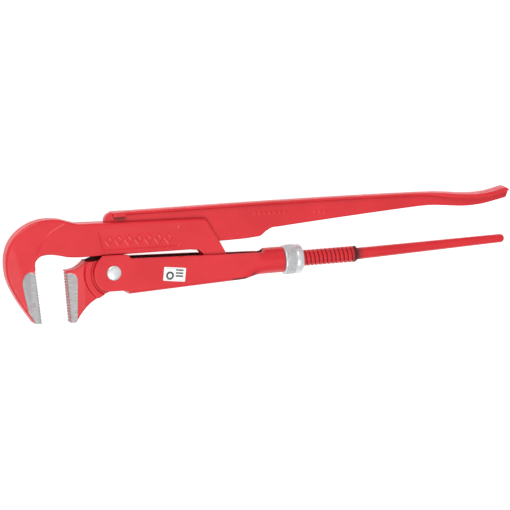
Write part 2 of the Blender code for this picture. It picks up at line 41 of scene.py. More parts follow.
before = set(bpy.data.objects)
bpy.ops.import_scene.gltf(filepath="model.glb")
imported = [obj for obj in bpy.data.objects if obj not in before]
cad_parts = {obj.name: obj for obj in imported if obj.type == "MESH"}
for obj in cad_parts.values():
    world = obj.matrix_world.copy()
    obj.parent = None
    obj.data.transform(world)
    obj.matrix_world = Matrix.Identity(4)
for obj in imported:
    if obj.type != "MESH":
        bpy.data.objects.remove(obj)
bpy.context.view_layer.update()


def middle(node):
    low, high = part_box(node)
    return (low + high) / 2


TOOL_ORIGIN = Vector((middle("jaw_rivet").x, middle("adjusting_nut").y, middle("adjusting_nut").z))

# main sizes in tool millimetres, nearly all of them the CAD model's
SHANK_HALF = 7.4
HOOK_HALF = 6.9
WEB_HALF = 3.1
FLANGE_HALF = 5.6
FLANGE_THICK = 2.0
GRIP_HALF = 8.0
PANEL_DEPTH = 0.6
CREASE_DROP = 0.25
FACET_SLOPE = 0.1
GROUND_DEPTH = 0.15
LOZENGE_PITCH = 8.3
LOZENGE_HEIGHT = 0.26
LEG_PIVOT = (86.0, 0.0)
LUG_RADIUS = 9.0
THREAD_PITCH = 3.5
THREAD_RADIUS = 6.5
THREAD_ROOT = 5.1
THREAD_START = 108.0
THREAD_END = 206.0
ROD_END = 331.8
ROD_BIG = 4.75
ROD_SMALL = 3.45
ROD_RISE = 3.0
SHEET = 2.4
HOUSING_HALF = 10.4
LOWER_ROLL_START = 108.0
UPPER_ROLL_START = 121.5
TUBE_START = 128.5
TUBE_RISE = 0.4
TUBE_END = 144.2
JAW_PIVOT = (0.0, 2.0)
CHEEK_RADIUS = 16.5
BAND_HALF = 9.6
BAND_INNER = 18.8
BAND_OUTER = 24.0
NUT_START = 144.5
NUT_END = 160.2
NUT_RADIUS = 12.0
NUT_BORE = 6.75
NECK_RADIUS = 7.7
NECK_START = 135.6
TOOTH_COUNT = 17
TOOTH_DEPTH = 1.0


# ---------------------------------------------------------------- fields

def outline_field(points):
    """Signed distance to a closed outline in the x-y plane, negative inside."""
    ends = list(zip(points, points[1:] + points[:1]))

    def distance(x, y):
        shape = np.broadcast(x, y).shape
        nearest = np.full(shape, 1e9)
        inside = np.zeros(shape, bool)
        for (x0, y0), (x1, y1) in ends:
            dx, dy = x1 - x0, y1 - y0
            along = np.clip(((x - x0) * dx + (y - y0) * dy) / (dx * dx + dy * dy), 0.0, 1.0)
            nearest = np.minimum(nearest, (x - x0 - along * dx) ** 2 + (y - y0 - along * dy) ** 2)
            if dy:
                inside ^= ((y0 > y) != (y1 > y)) & (x < x0 + (y - y0) * dx / dy)
        return np.where(inside, -1.0, 1.0) * np.sqrt(nearest)

    return distance


def line_field(first, last):
    """Signed distance to a straight line, positive on the left of the way from first to last."""
    dx, dy = last[0] - first[0], last[1] - first[1]
    length = math.hypot(dx, dy)
    return lambda x, y: ((y - first[1]) * dx - (x - first[0]) * dy) / length


def both(a, b, radius):
    """Where a and b are both metal, with a rounded outer edge."""
    edge = np.hypot(np.maximum(a + radius, 0.0), np.maximum(b + radius, 0.0))
    return np.minimum(np.maximum(a, b), -radius) + edge


def either(a, b, radius):
    """Where a or b is metal, with a fillet in the inner corner."""
    corner = np.hypot(np.maximum(radius - a, 0.0), np.maximum(radius - b, 0.0))
    return np.maximum(np.minimum(a, b), radius) - corner


def ease(value, start, end):
    """Smooth step from 0 at start to 1 at end."""
    part = np.clip((value - start) / (end - start), 0.0, 1.0)
    return part * part * (3.0 - 2.0 * part)


def saw(along, pitch, depth):
    """Depth below the tips of a row of teeth, at a distance along the row."""
    part = np.mod(along / pitch, 1.0)
    return depth * np.minimum(part / 0.4, (1.0 - part) / 0.6)


def arc(centre, radius, start, end, steps):
    """Points on an arc, from the start angle to the end angle in degrees."""
    angles = [math.radians(start + (end - start) * index / steps) for index in range(steps + 1)]
    return [(centre[0] + radius * math.cos(a), centre[1] + radius * math.sin(a)) for a in angles]


def smooth(points, steps=4):
    """A Catmull-Rom curve through the points."""
    ends = [points[0], *points, points[-1]]
    curve = []
    for quad in zip(ends, ends[1:], ends[2:], ends[3:]):
        a, b, c, d = (np.array(point) for point in quad)
        for index in range(steps):
            t = index / steps
            bend = (2 * a - 5 * b + 4 * c - d) * t * t + (3 * b - 3 * c + d - a) * t ** 3
            curve.append(tuple(0.5 * (2 * b + (c - a) * t + bend)))
    curve.append(points[-1])
    return curve


def on_line(line, x):
    """Height at x of a line of points that run towards +x."""
    xs, ys = zip(*line)
    return np.interp(x, xs, ys)


# ---------------------------------------------------------------- meshes

def skin(field, low, high, cell):
    """Quads on the field's zero level inside a box, by surface nets, with each point pulled on to it."""
    x, y, z = (np.arange(a, b + cell, cell) for a, b in zip(low, high))
    count = (len(x), len(y), len(z))
    value = np.broadcast_to(field(x[:, None, None], y[None, :, None], z[None, None, :]), count)
    inside = value < 0.0
    corners = [(i, j, k) for i in (0, 1) for j in (0, 1) for k in (0, 1)]
    held = sum(
        inside[i:count[0] - 1 + i, j:count[1] - 1 + j, k:count[2] - 1 + k].astype(np.int8)
        for i, j, k in corners
    )
    cells = np.argwhere((held > 0) & (held < 8))
    number = np.full(held.shape, -1)
    number[tuple(cells.T)] = np.arange(len(cells))
    total = np.zeros((len(cells), 3))
    crossings = np.zeros(len(cells))
    for corner in corners:
        for axis in range(3):
            if corner[axis]:
                continue
            start = value[tuple((cells + corner).T)]
            unit = np.eye(3, dtype=int)[axis]
            end = value[tuple((cells + corner + unit).T)]
            crossed = (start < 0.0) != (end < 0.0)
            share = np.where(crossed, start / np.where(crossed, start - end, 1.0), 0.0)
            total += crossed[:, None] * (np.array(corner) + share[:, None] * unit)
            crossings += crossed
    points = (cells + total / crossings[:, None]) * cell + np.array(low)
    quads = []
    for axis in range(3):
        first = np.take(inside, range(count[axis] - 1), axis)
        second = np.take(inside, range(1, count[axis]), axis)
        edges = np.argwhere(first != second)
        across = ((axis + 1) % 3, (axis + 2) % 3)
        ring = []
        for back in ((0, 0), (1, 0), (1, 1), (0, 1)):
            around = edges.copy()
            around[:, across[0]] -= back[0]
            around[:, across[1]] -= back[1]
            ring.append(number[tuple(around.T)])
        ring = np.stack(ring, 1)
        inward = ~first[tuple(edges.T)]
        ring[inward] = ring[inward][:, ::-1]
        quads.append(ring)
    return pull(field, points, cell), np.concatenate(quads)


def pull(field, points, cell):
    """Moves points on to the field's zero level, by at most half a cell a step."""
    step = 0.02
    for _ in range(3):
        here = field(*points.T)
        slope = np.stack([field(*(points + step * unit).T) - here for unit in np.eye(3)], 1) / step
        move = (here / np.maximum((slope ** 2).sum(1), 0.05))[:, None] * slope
        length = np.linalg.norm(move, axis=1)[:, None]
        points = points - move * np.minimum(1.0, 0.5 * cell / np.maximum(length, 1e-9))
    return points


def to_world(points):
    """Tool millimetres to the frame's metres."""
    return np.asarray(points, float) * MM + np.array(TOOL_ORIGIN)


def make_piece(name, points, faces, material, body, stands_for, marks=None):
    """A piece of the tool from points in tool millimetres, riding on a CAD body."""
    mesh = bpy.data.meshes.new(name)
    mesh.from_pydata(to_world(points), [], [tuple(face) for face in faces])
    mesh.shade_smooth()
    for mark, values in (marks or {}).items():
        layer = mesh.attributes.new(mark, "FLOAT", "POINT")
        layer.data.foreach_set("value", np.asarray(values, np.float32))
    mesh.materials.append(material)
    piece = bpy.data.objects.new(name, mesh)
    bpy.context.scene.collection.objects.link(piece)
    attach(piece, body)
    if stands_for:
        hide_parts(*stands_for)
    return piece


def rings(sections):
    """Points and faces of a closed skin through equal rings of points, with flat ends."""
    count = len(sections[0])
    points = np.concatenate([np.asarray(section, float) for section in sections])
    faces = []
    for row in range(len(sections) - 1):
        for side in range(count):
            after = (side + 1) % count
            base = row * count
            faces.append((base + side, base + after, base + count + after, base + count + side))
    faces.append(tuple(reversed(range(count))))
    last = (len(sections) - 1) * count
    faces.append(tuple(range(last, last + count)))
    return points, faces


# ---------------------------------------------------------------- materials

class Tree:
    """A material's nodes, with short calls to add and join them."""

    def __init__(self, name):
        self.material = bpy.data.materials.new(name)
        self.material.use_nodes = True
        self.nodes = self.material.node_tree.nodes
        self.links = self.material.node_tree.links
        self.shader = self.nodes["Principled BSDF"]
        self.place = self.nodes.new("ShaderNodeTexCoord").outputs["Object"]

    def join(self, value, socket):
        if isinstance(value, bpy.types.NodeSocket):
            self.links.new(value, socket)
        else:
            socket.default_value = value

    def noise(self, scale, detail=2.0, stretch=(1.0, 1.0, 1.0)):
        mapping = self.nodes.new("ShaderNodeMapping")
        mapping.inputs["Scale"].default_value = stretch
        self.links.new(self.place, mapping.inputs["Vector"])
        noise = self.nodes.new("ShaderNodeTexNoise")
        noise.inputs["Scale"].default_value = scale
        noise.inputs["Detail"].default_value = detail
        self.links.new(mapping.outputs["Vector"], noise.inputs["Vector"])
        return noise.outputs["Fac"]

    def span(self, value, low, high, first=0.0, last=1.0):
        """value from low..high spread over first..last, with both ends held."""
        node = self.nodes.new("ShaderNodeMapRange")
        for name, number in (("From Min", low), ("From Max", high), ("To Min", first), ("To Max", last)):
            node.inputs[name].default_value = number
        self.join(value, node.inputs["Value"])
        return node.outputs["Result"]

    def math(self, operation, first, second=0.0):
        node = self.nodes.new("ShaderNodeMath")
        node.operation = operation
        self.join(first, node.inputs[0])
        self.join(second, node.inputs[1])
        return node.outputs["Value"]

    def mix(self, share, first, second):
        node = self.nodes.new("ShaderNodeMix")
        node.data_type = "RGBA"
        self.join(share, node.inputs[0])
        for value, socket in ((first, node.inputs[6]), (second, node.inputs[7])):
            self.join((*value, 1.0) if isinstance(value, tuple) else value, socket)
        return node.outputs[2]

    def band(self, value, centre, reach):
        """1 where value is within reach of centre, 0 elsewhere, with a thin soft edge."""
        node = self.nodes.new("ShaderNodeMath")
        node.operation = "COMPARE"
        node.inputs[1].default_value = centre
        node.inputs[2].default_value = reach
        self.join(value, node.inputs[0])
        return node.outputs["Value"]

    def mark(self, name):
        node = self.nodes.new("ShaderNodeAttribute")
        node.attribute_name = name
        return node.outputs["Fac"]

    def bump(self, height, depth, strength=1.0):
        node = self.nodes.new("ShaderNodeBump")
        node.inputs["Strength"].default_value = strength
        node.inputs["Distance"].default_value = depth * MM
        self.join(height, node.inputs["Height"])
        self.links.new(node.outputs["Normal"], self.shader.inputs["Normal"])

    def finish(self, colour, roughness, metallic=0.0):
        self.join(colour, self.shader.inputs["Base Color"])
        self.join(roughness, self.shader.inputs["Roughness"])
        self.join(metallic, self.shader.inputs["Metallic"])
        return self.material


RED = (0.57, 0.014, 0.022)
RED_DEEP = (0.51, 0.009, 0.016)
# painted shade: near-black red laid into creases, grooves and recesses where shade falls
PAINTED_SHADE_COLOUR = (0.045, 0.006, 0.008)
STEEL = (0.33, 0.32, 0.325)
STEEL_DARK = (0.25, 0.24, 0.245)
STAIN = (0.20, 0.15, 0.12)
ZINC = (0.60, 0.605, 0.62)
ZINC_DARK = (0.50, 0.505, 0.52)


def enamel_look(tree):
    """Sprayed red enamel: slow drifts of tone, fine orange peel, and painted shade where the mark says."""
    drift = tree.span(tree.noise(28.0, 3.0), 0.35, 0.65)
    # the mark read here is painted shade, not dirt
    painted_shade = tree.mark("painted_shade")
    colour = tree.mix(painted_shade, tree.mix(drift, RED, RED_DEEP), PAINTED_SHADE_COLOUR)
    roughness = tree.math("ADD", tree.span(tree.noise(160.0), 0.3, 0.7, 0.32, 0.42),
                          tree.math("MULTIPLY", painted_shade, 0.3))
    tree.shader.inputs["Specular IOR Level"].default_value = 0.36
    tree.shader.inputs["Coat Weight"].default_value = 0.08
    tree.shader.inputs["Coat Roughness"].default_value = 0.15
    return colour, roughness


def enamel():
    """Enamel on the pieces that show no bare steel."""
    tree = Tree("red_enamel")
    colour, roughness = enamel_look(tree)
    tree.bump(tree.noise(420.0, 1.5), 0.035, 0.4)
    return tree.finish(colour, roughness)


def enamel_with_bare_steel():
    """Enamel, except where the mark named bare is above zero, which is ground steel."""
    tree = Tree("red_enamel_and_ground_steel")
    paint, paint_roughness = enamel_look(tree)
    edge = tree.math("ADD", tree.mark("bare"), tree.span(tree.noise(700.0), 0.3, 0.7, -0.12, 0.12))
    bare = tree.span(edge, -0.05, 0.1)
    grind = tree.noise(260.0, 4.0, (1.0, 9.0, 1.0))
    steel = tree.mix(tree.span(grind, 0.3, 0.7), STEEL, STEEL_DARK)
    stain = tree.span(tree.noise(90.0, 4.0), 0.58, 0.72)
    steel = tree.mix(tree.math("MULTIPLY", stain, 0.4), steel, STAIN)
    height = tree.mix(bare, tree.noise(420.0, 1.5), tree.math("MULTIPLY", grind, 0.8))
    tree.bump(height, 0.035, 0.4)
    roughness = tree.mix(bare, paint_roughness, tree.span(grind, 0.3, 0.7, 0.42, 0.6))
    return tree.finish(tree.mix(bare, paint, steel), roughness, tree.math("MULTIPLY", bare, 0.8))


def zinc():
    """Bright zinc plate: cloudy reflections, and painted shade in the knurl's grooves where the mark says.
    """
    tree = Tree("bright_zinc")
    spangle = tree.noise(520.0, 3.0)
    tree.bump(spangle, 0.012, 0.25)
    colour = tree.mix(tree.span(tree.noise(130.0, 3.0), 0.4, 0.6), ZINC, ZINC_DARK)
    # painted shade in the knurl's grooves
    colour = tree.mix(tree.math("MULTIPLY", tree.mark("painted_shade"), 0.4), colour, (0.22, 0.22, 0.23))
    return tree.finish(colour, tree.span(spangle, 0.3, 0.7, 0.3, 0.42), 0.5)


def plain_steel():
    """Oiled steel with a fine grain, on the small hidden parts."""
    tree = Tree("oiled_steel")
    grain = tree.noise(300.0, 4.0, (1.0, 6.0, 1.0))
    tree.bump(grain, 0.03, 0.5)
    colour = tree.mix(tree.span(grain, 0.3, 0.7), (0.30, 0.30, 0.31), (0.20, 0.20, 0.21))
    return tree.finish(colour, tree.span(grain, 0.3, 0.7, 0.35, 0.5), 0.95)


MATERIALS = {
    "red": enamel(),
    "red_bare": enamel_with_bare_steel(),
    "zinc": zinc(),
    "steel": plain_steel(),
}


# ---------------------------------------------------------------- hook jaw with its shank

def hook_outline():
    """Side view of the forging: back of the hook, tooth row, throat, lower edge, pivot lug and top."""
    back = smooth([
        (-27.0, 43.3), (-34.0, 45.4), (-42.0, 47.9), (-51.5, 48.8), (-61.0, 47.8), (-70.0, 44.4),
        (-78.0, 39.0), (-84.0, 31.8), (-87.6, 23.0), (-88.5, 13.5), (-87.3, 3.0), (-83.2, -7.6),
        (-75.9, -20.6), (-66.2, -34.6),
    ])
    throat = smooth([
        (-64.3, 12.4), (-63.1, 16.0), (-59.2, 19.3), (-52.5, 20.2), (-44.5, 19.0), (-36.5, 17.1),
        (-28.0, 16.4),
    ])
    lug = arc(LEG_PIVOT, LUG_RADIUS, 180.0, 360.0, 16)
    return [
        *back, (-60.2, -34.7), (-64.2, 9.6), *throat, (65.0, 15.5), (72.6, 14.6), (76.0, 11.2),
        (77.0, 6.0), *lug, (95.2, 10.8), (81.5, 37.4), (79.2, 39.5), (74.0, 39.9),
    ]


HOOK_TEETH = ((-64.2, 8.6), (-60.35, -34.3))


def hook_bare_zone():
    """Outline of the ground flat beside the hook's teeth."""
    left = smooth([
        (-63.0, 4.0), (-66.6, 7.2), (-70.2, 7.1), (-73.6, 4.4), (-75.3, -0.4), (-74.7, -7.5),
        (-72.6, -18.0), (-69.2, -34.0),
    ])
    return [*left, (-68.3, -38.0), (-55.0, -38.0), (-58.0, 2.6)]


def tooth_field(tip_line, teeth):
    """Positive outside a row of teeth; tip_line is positive towards the metal."""
    (x0, y0), (x1, y1) = teeth
    length = math.hypot(x1 - x0, y1 - y0)

    def field(x, y):
        along = ((x - x0) * (x1 - x0) + (y - y0) * (y1 - y0)) / length
        ends = ease(along, -0.4, 0.4) * ease(length - along, -0.4, 0.4)
        return (saw(along, length / TOOTH_COUNT, TOOTH_DEPTH) * ends - tip_line(x, y)) * 0.75

    return field


def bare_mark(zone, tip_line, half, points):
    """Above zero in the ground-steel zone, on the flats and the teeth; the teeth's valleys keep paint."""
    x, y, z = points.T
    inward = half - np.abs(z)
    depth = tip_line(x, y)
    valley = ease(depth, 0.3, 0.6) * ease(inward, 0.3, 0.8) * ease(-depth, -1.6, -1.2)
    valley = valley * ease(y, y.min() + 0.9, y.min() + 1.3)
    painted = ease(inward, 0.3, 0.6) * ease(depth, 1.6, 2.2)
    return np.minimum(-zone(x, y), 1.0) - 3.0 * valley - 3.0 * painted


def lozenges(x, y):
    """Height, from 0 to 1, of a row of plain raised lozenges along the sunken panel."""
    along = np.abs(np.mod((x + 6.5) / LOZENGE_PITCH, 1.0) - 0.5)
    across = np.abs(y - 27.9 + 0.03 * x) / LOZENGE_PITCH
    rim = 0.11 - np.abs(along + 0.75 * across - 0.33)
    return ease(rim, 0.0, 0.07) * ease(x, -6.0, -5.0) * ease(-x, -52.5, -51.5)


def hook_field():
    """Field of the forging: hook thinner than the shank, faceted back, sunken panel, teeth and slots."""
    outline = outline_field(hook_outline())
    crease = outline_field([
        *smooth([
            (-27.0, 50.5), (-34.5, 46.7), (-42.5, 43.0), (-49.9, 39.0), (-56.0, 33.2), (-60.4, 26.8),
            (-63.5, 18.0),
        ]),
        (-66.0, 8.0), (-66.0, -40.0), (-99.0, -40.0), (-99.0, 60.0), (-27.0, 60.0),
    ])
    panel = outline_field([
        (-12.0, 38.0), (-8.2, 20.9), (-6.6, 20.0), (55.6, 18.9), (57.0, 20.2), (57.0, 38.0),
    ])
    bare = outline_field(hook_bare_zone())
    facet = line_field((-70.0, -20.0), (-83.6, 35.2))
    tip_line = line_field(HOOK_TEETH[1], HOOK_TEETH[0])
    teeth = tooth_field(tip_line, HOOK_TEETH)

    def field(x, y, z):
        spread = 0.85 + 2.4 * ease(-y, -27.0, -14.0)
        on_hook = ease(-crease(x, y) / spread, -1.0, 1.0)
        half = SHANK_HALF - (SHANK_HALF - HOOK_HALF + CREASE_DROP) * on_hook
        half = half + FACET_SLOPE * either(-facet(x, y), 0.0, 1.0)
        sunk = ease(-panel(x, y), 0.0, 1.1) * ease(37.5 - y, 0.0, 5.0)
        half = half - sunk * (PANEL_DEPTH - LOZENGE_HEIGHT * lozenges(x, y))
        half = half - GROUND_DEPTH * ease(-bare(x, y), -0.2, 0.2)
        toothed = ease(x, -69.0, -64.0) * ease(-y, -15.0, -11.0)
        rounded = np.maximum(ease(-x, 20.0, 34.0), ease(y, 24.0, 34.0) * ease(x, -30.0, -10.0))
        solid = both(outline(x, y), np.abs(z) - half, 0.9 + 1.1 * rounded - 1.4 * toothed * rounded)
        near_teeth = (x < -50.0) & (y < 9.6)
        solid = np.maximum(solid, np.where(near_teeth, teeth(x, y), -9.0))
        web_slot = np.maximum(np.maximum(np.abs(z) - WEB_HALF - 0.1, 19.4 - y), -4.4 - x)
        tongue_slot = np.maximum(np.maximum(np.abs(z) - 3.4, y - 9.4), 60.0 - x)
        solid = both(solid, -web_slot, 0.2)
        return both(solid, -tongue_slot, 0.2)

    return field, bare, tip_line


def build_hook():
    """The forging, with a line of painted shade along the far edge of its back."""
    field, bare, tip_line = hook_field()
    outline = outline_field(hook_outline())
    points, faces = skin(field, (-90.0, -36.5, -8.6), (97.0, 50.5, 8.6), 0.47)
    x, y, z = points.T
    # painted shade: a dark line along the far edge of the hook's back, which turns away from the light
    far_edge_shade = ease(outline(x, y), -3.0, -2.2) * ease(-z, 3.4, 4.2)
    far_edge_shade = far_edge_shade * ease(x, -68.0, -56.0) * ease(-x, 3.0, 5.0) * ease(y, 34.0, 38.0)
    hook_half = HOOK_HALF - CREASE_DROP - GROUND_DEPTH
    marks = {"bare": bare_mark(bare, tip_line, hook_half, points), "painted_shade": 0.8 * far_edge_shade}
    make_piece("hook_jaw_forging", points, faces, MATERIALS["red_bare"], "upper_leg",
               ("hook_jaw", "handle_rivet_front", "handle_rivet_rear"), marks)


# ---------------------------------------------------------------- upper handle

HANDLE_TOP = smooth([
    (-5.0, 49.95), (3.0, 49.95), (50.0, 49.6), (100.0, 49.15), (150.0, 48.45), (200.0, 47.5), (245.0, 46.3),
    (270.0, 45.3), (284.0, 44.0), (297.0, 42.3), (309.0, 41.7), (321.0, 42.7), (337.0, 46.4),
])
HANDLE_BOTTOM = smooth([
    (-4.0, 19.9), (98.0, 19.9), (121.0, 20.7), (126.5, 21.6), (130.5, 24.6), (136.0, 27.2), (143.0, 27.7),
    (160.0, 28.9), (200.0, 31.5), (245.0, 34.1), (268.0, 35.0), (284.0, 33.6), (298.0, 32.2), (312.0, 32.6),
    (324.0, 34.6), (337.0, 37.2),
])
STOP_START, STOP_END = 2.6, 13.6
STOP_HALF, STOP_STAND, STOP_SLANT = 1.85, 0.9, 0.25
GRIP_START, GRIP_FULL = 262.0, 292.0
STUD_PITCH, STUD_HEIGHT = 4.2, 0.2
STUD_START = 120.0


def studs(x, y):
    """Height, from 0 to 1, of plain raised lozenges on the web, seven and then three, and one dot."""
    place = (x - STUD_START) / STUD_PITCH
    along = np.abs(np.mod(place, 1.0) - 0.5) * STUD_PITCH
    across = np.abs(y - 40.4 + 0.05 * (x - STUD_START))
    shown = ((place > 0.0) & (place < 7.0)) | ((place > 12.0) & (place < 15.0))
    row = ease(1.6 - along - 0.8 * across, 0.0, 0.8) * shown
    return np.maximum(row, ease(1.1 - np.hypot(x - 196.6, y - 39.0), 0.0, 0.7))


def handle_field():
    """Field of the forging: web, flange that swells into the grip, stop at the nose and faceted end."""
    nose = outline_field([
        *arc((2.6, 43.15), 6.8, 180.0, 90.0, 8), (20.0, 49.95), (20.0, 19.9), (-4.2, 19.9),
    ])
    end_lower = line_field((333.8, 36.1), (336.5, 42.7))
    end_upper = line_field((336.5, 42.7), (331.4, 46.9))

    def field(x, y, z):
        top = on_line(HANDLE_TOP, x)
        bottom = on_line(HANDLE_BOTTOM, x)
        grip = ease(x, GRIP_START, GRIP_FULL)
        upright = np.maximum(y - top, bottom - y)
        upright = np.where(x < 15.0, np.maximum(nose(x, y), upright), upright)
        web = both(upright, np.abs(z) - WEB_HALF - STUD_HEIGHT * studs(x, y), 0.8)
        half = FLANGE_HALF + (GRIP_HALF - FLANGE_HALF) * grip
        thick = FLANGE_THICK + 1.4 * grip
        underside = top - thick - 0.12 * np.maximum(half - np.abs(z), 0.0)
        flange = both(np.maximum(y - top, underside - y), np.abs(z) - half, 0.8)
        flange = both(flange, STOP_START + 0.8 - x, 2.4)
        solid = either(web, flange, 1.1)
        stop = both(np.abs(y - top + STOP_HALF) - STOP_HALF, np.abs(z) - FLANGE_HALF - STOP_STAND, 0.5)
        middle_x, reach = 0.5 * (STOP_START + STOP_END), 0.5 * (STOP_END - STOP_START)
        stop = both(stop, np.abs(x - middle_x - STOP_SLANT * (top - y - 2.1)) - reach, 0.8)
        solid = either(solid, stop, 0.3)
        return both(both(solid, -end_lower(x, y), 0.8), -end_upper(x, y), 0.8)

    return field


def build_upper_handle():
    """The forging, with painted shade in the corner under the stop."""
    points, faces = skin(handle_field(), (-6.0, 18.5, -9.2), (339.0, 51.0, 9.2), 0.5)
    x, y, z = points.T
    # painted shadow under the stop, on the web below the flange
    corner = ease(x, STOP_START, STOP_START + 2.4) * ease(-x, -STOP_END - 0.8, -STOP_END + 1.2)
    corner = corner * ease(y, 41.8, 46.2) * ease(-y, -47.2, -46.6) * ease(FLANGE_HALF - np.abs(z), 0.0, 0.6)
    make_piece("upper_handle_forging", points, faces, MATERIALS["red"], "upper_leg",
               ("upper_handle",), {"painted_shade": 0.8 * corner})


# ---------------------------------------------------------------- threaded leg

THREAD_STEPS = 14
LEG_SIDES = 72


def thread_radius(x, angle):
    """Radius of the right-hand thread, with rounded crests and narrow grooves."""
    turns = (x - THREAD_START) / THREAD_PITCH - angle / (2.0 * math.pi)
    across = np.abs(np.mod(turns, 1.0) - 0.5) * 2.0
    crest = ease(across, 0.02, 0.4)
    fade = np.minimum(1.0, (x - THREAD_START) / THREAD_PITCH)
    return THREAD_ROOT + (THREAD_RADIUS - THREAD_ROOT) * crest * fade


def build_threaded_leg():
    """The thread and tapering rod as rings along x, and the flat tongue with its pivot eye."""
    angles = 2.0 * math.pi * np.arange(LEG_SIDES) / LEG_SIDES
    stations = [(98.0, 0.0, np.full(LEG_SIDES, 4.4)), (98.8, 0.0, np.full(LEG_SIDES, THREAD_ROOT))]
    count = round((THREAD_END - THREAD_START) / THREAD_PITCH * THREAD_STEPS)
    for index in range(count + 1):
        x = THREAD_START + index * THREAD_PITCH / THREAD_STEPS
        stations.append((x, 0.0, thread_radius(x, angles)))
    stations.append((THREAD_END + 0.3, 0.0, np.full(LEG_SIDES, 5.6)))
    stations.append((THREAD_END + 0.9, 0.0, np.full(LEG_SIDES, 4.7)))
    start, tip = THREAD_END + 1.6, 3.6
    for index in range(25):
        part = index / 24
        radius = ROD_BIG + (ROD_SMALL - ROD_BIG) * part
        x = start + (ROD_END - tip - start) * part
        stations.append((x, ROD_RISE * part, np.full(LEG_SIDES, radius)))
    for index in range(1, 9):
        angle = math.radians(10.5 * index)
        x = ROD_END - tip + tip * math.sin(angle)
        stations.append((x, ROD_RISE, np.full(LEG_SIDES, ROD_SMALL * math.cos(angle) ** 0.7)))
    sections = []
    for x, rise, radius in stations:
        ring = [np.full(LEG_SIDES, x), rise + radius * np.cos(angles), radius * np.sin(angles)]
        sections.append(np.stack(ring, 1))
    points, faces = rings(sections)
    x, y, z = points.T
    on_thread = (x > THREAD_START) & (x < THREAD_END)
    # painted shade in the thread's grooves, and a dark band of painted shade at the thread's end
    painted_shade = np.where(on_thread, 0.75 * ease(THREAD_RADIUS - np.hypot(y, z), 0.5, 1.1), 0.0)
    painted_shade = np.maximum(painted_shade, 0.9 * ease(x, 202.0, 204.0) * ease(-x, -208.4, -207.2))
    make_piece("leg_thread_and_rod", points, faces, MATERIALS["red"], "threaded_leg", (),
               {"painted_shade": painted_shade})
    eye = arc(LEG_PIVOT, 7.4, 50.0, 310.0, 30)
    outline = outline_field([*eye, (94.0, -4.4), (104.0, -4.4), (104.0, 4.4), (94.0, 4.4)])

    def tongue(x, y, z):
        solid = both(outline(x, y), np.abs(z) - WEB_HALF, 0.4)
        return both(solid, 3.3 - np.hypot(x - LEG_PIVOT[0], y - LEG_PIVOT[1]), 0.3)

    points, faces = skin(tongue, (77.0, -9.0, -4.2), (105.5, 9.0, 4.2), 0.5)
    make_piece("leg_tongue", points, faces, MATERIALS["red"], "threaded_leg",
               ("threaded_leg",))


# ---------------------------------------------------------------- housing

def housing_side_outline():
    """Side view of the bent sheet: round cheek, stepped lower edge, tube and the slot along its top."""
    cheek = arc(JAW_PIVOT, CHEEK_RADIUS, 128.0, 232.0, 16)
    slot_end = arc((125.2, 11.6), 3.0, 270.0, 360.0, 6)
    return [
        *cheek, (-3.6, -12.9), (11.4, -13.1), (12.4, -14.2), (13.0, -20.0), (TUBE_END, -20.0),
        (TUBE_END, 14.0), (128.2, 14.0), *reversed(slot_end), (15.0, 12.6), (12.6, 15.6),
        (11.0, 16.1), (-8.6, 16.6),
    ]


def housing_floor(x):
    """Height of the channel's floor, which rises slowly towards the tube."""
    return -15.2 + 0.044 * (x - 12.4)


def housing_field():
    """Field of the sheet, a channel with rounded corners that rolls over into a round tube."""
    side = outline_field(housing_side_outline())
    half = HOUSING_HALF - 0.5 * SHEET
    corner = 2.4

    def field(x, y, z):
        floor = housing_floor(x)
        into = np.maximum(np.abs(z) - half + corner, floor + corner - y)
        bend = np.hypot(np.maximum(np.abs(z) - half + corner, 0.0), np.maximum(floor + corner - y, 0.0))
        channel = bend + np.minimum(into, 0.0) - corner
        tube = np.hypot(y - TUBE_RISE, z) - half
        lower = ease(x, LOWER_ROLL_START, TUBE_START)
        rolled = lower + (ease(x, UPPER_ROLL_START, TUBE_START) - lower) * ease(y, -5.0, 4.0)
        sheet = np.abs(channel + (tube - channel) * rolled) - 0.5 * SHEET
        far_side = ease(-z, -1.0, 1.0) * ease(x, 70.0, 95.0)
        rim = side(x, y) + (side(x, y + 1.0) - side(x, y)) * far_side
        solid = both(sheet, rim, 0.45)
        seam = np.maximum(np.abs(z) - 0.25, -y)
        return np.maximum(solid, -seam)

    return field


def build_housing():
    """The sheet, with painted shade inside it and in the corner folds where the roll starts."""
    points, faces = skin(housing_field(), (-18.5, -17.6, -11.4), (145.6, 17.6, 11.4), 0.48)
    x, y, z = points.T
    # painted shade in the lower corner folds where the roll starts
    fold_shade = ease(x, 97.0, 101.0) * ease(-x, -114.0, -110.0) * ease(housing_floor(x) + 1.1 - y, 0.0, 0.5)
    fold_shade = fold_shade * ease(np.abs(z), 8.0, 8.8)
    # painted shade inside the channel and the tube's mouth, seen through the slot
    inside = ease(HOUSING_HALF - 0.8 - np.abs(z), 0.0, 0.8) * ease(y - housing_floor(x), 0.6, 1.2)
    mouth_shade = ease(HOUSING_HALF - 0.2 - np.hypot(y - TUBE_RISE, z), 0.0, 0.4) * ease(-z, -3.0, -1.0)
    mouth_shade = np.maximum(ease(-x, -122.0, -116.0), mouth_shade * ease(-x, -131.0, -128.5))
    inside = inside * mouth_shade * ease(x, 13.0, 18.0)
    make_piece("housing_sheet", points, faces, MATERIALS["red"], "housing", ("housing",),
               {"painted_shade": np.maximum(0.9 * fold_shade, 0.8 * inside)})


# ---------------------------------------------------------------- lower jaw

HUB_HALF = 7.6
HEAD_HALF = 7.0
HEAD_TAPER = 0.14
SHOULDER_HALF = 1.8
JAW_TEETH = ((-38.35, 5.0), (-36.2, -35.8))


